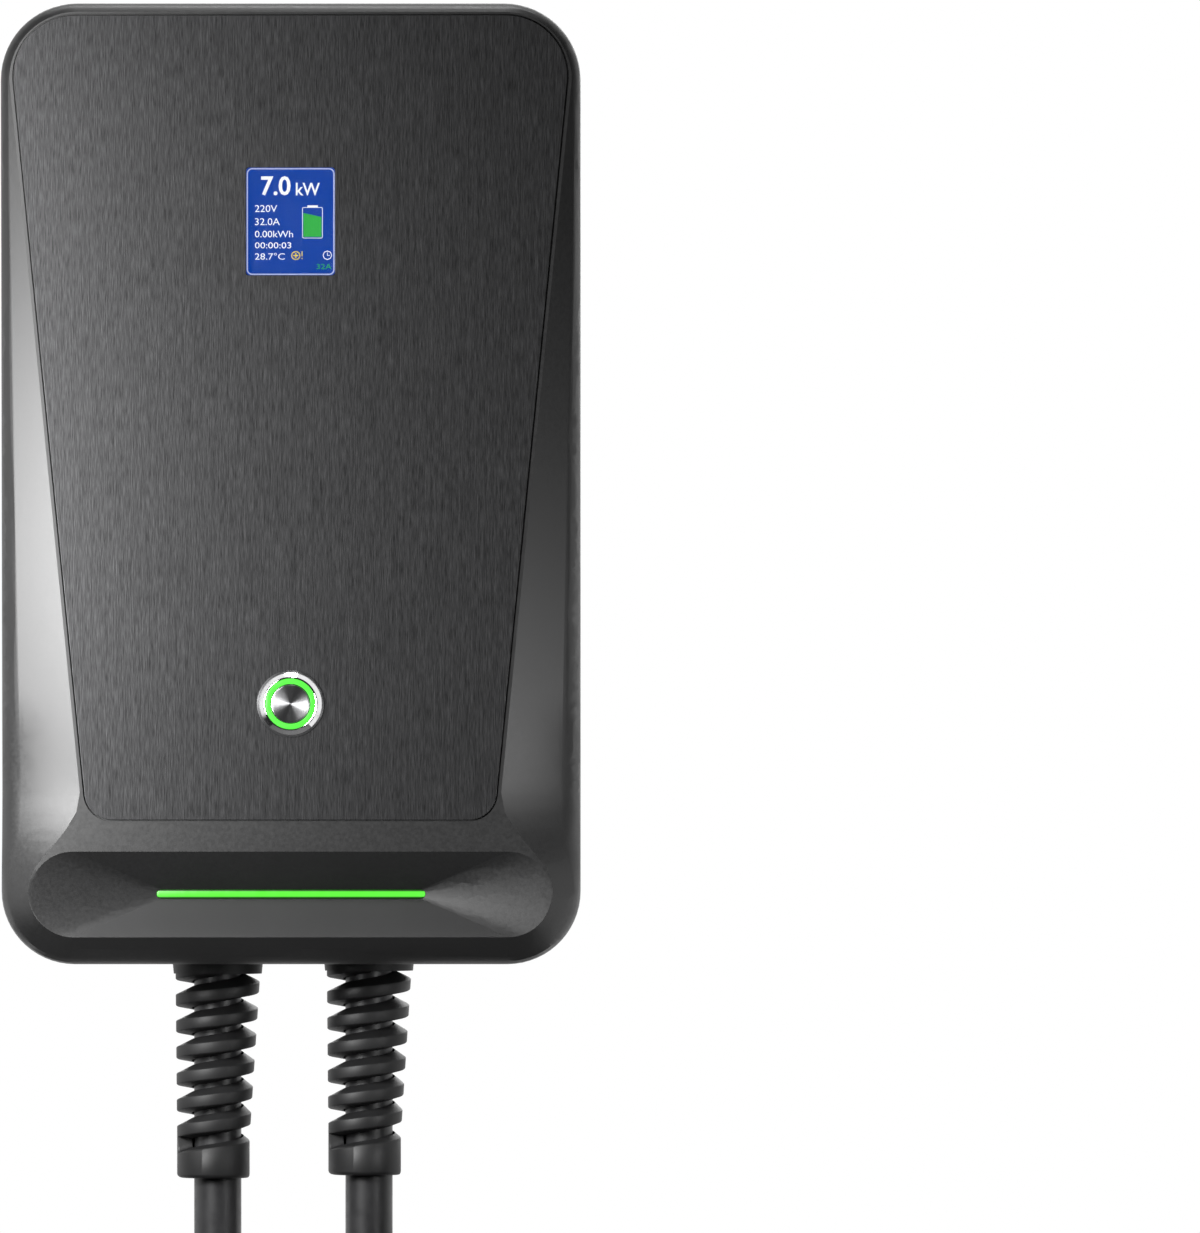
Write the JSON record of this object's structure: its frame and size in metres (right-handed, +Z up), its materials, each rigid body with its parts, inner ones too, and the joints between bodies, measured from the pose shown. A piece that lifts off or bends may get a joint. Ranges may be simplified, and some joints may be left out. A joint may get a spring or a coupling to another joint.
{
  "type": "wall charger",
  "caption": "Wall-mounted charging box for an electric car: sculpted cover, brushed panel with display and button, light bar, ribbed back, cables with spiral strain reliefs, connector.",
  "frame": {"origin": "crossing of two ribs on the centre line of the back, in the plane of the rib tips that rest on the wall", "axes": "+X to the right as seen from the front, +Y into the wall, +Z up"},
  "size_m": [0.4212, 0.088, 0.8465],
  "materials": {
    "cover": "fine sand texture, matt black",
    "shell": "moulded satin black",
    "panel": "vertically brushed, anodised dark",
    "window": "clear, glossy",
    "screen": "lit colour display",
    "steel": "satin",
    "chrome": "polished",
    "ring": "translucent green ring, lit",
    "light": "translucent green diffuser, lit",
    "board": "solder mask",
    "module": "moulded",
    "terminal": "moulded green",
    "relay": "moulded black",
    "coil_part": "potted",
    "brass": "satin",
    "gland": "moulded, slightly glossy",
    "seal": "matt",
    "cable": "satin jacket",
    "core": "core insulation",
    "strap": "woven strap",
    "ribbon": "flat cable"
  },
  "bodies": {
    "housing": {"board_screws": "steel", "button_body": "chrome", "button_leads": "core", "button_nut": "steel", "button_ring": "ring", "button_seal": "seal", "button_spring": "steel", "case_screws": "steel", "case_seal": "seal", "connector_boot": "seal", "connector_contacts": "brass", "connector_screws": "steel", "connector_shell": "cover", "contact_carrier": "module", "controller_module": "module", "current_sensor": "coil_part", "display_board": "board", "display_module": "screen", "display_ribbon": "ribbon", "display_screws": "steel", "display_window": "window", "filter_capacitors": "coil_part", "front_cover": "cover", "input_cable": "cable", "input_cable_coil": "cable", "input_cable_tail": "cable", "input_coil_straps": "strap", "input_cores": "core", "input_ferrules": "steel", "input_free_cores": "core", "input_gland_body": "gland", "input_gland_cap": "gland", "input_gland_locknut": "gland", "input_gland_seal": "seal", "input_gland_washer": "seal", "input_terminals": "terminal", "light_bar": "light", "light_board": "board", "light_screws": "steel", "main_board": "board", "output_cable": "cable", "output_cable_coil": "cable", "output_cable_tail": "cable", "output_coil_straps": "strap", "output_cores": "core", "output_gland_body": "gland", "output_gland_cap": "gland", "output_gland_locknut": "gland", "output_gland_seal": "seal", "output_gland_washer": "seal", "output_terminals": "terminal", "power_relays": "relay", "power_supply": "relay", "rear_shell": "shell", "sensor_bridges": "brass", "trim_panel": "panel"},
    "button": {"button_cap": "steel"}
  },
  "joints": [
    {"name": "button_press", "type": "slide", "parent": "housing", "child": "button", "axis": [0, 1, 0], "range_m": [0, 0.0012], "stiffness_N_per_m": 1500, "springref_m": -0.001}
  ]
}
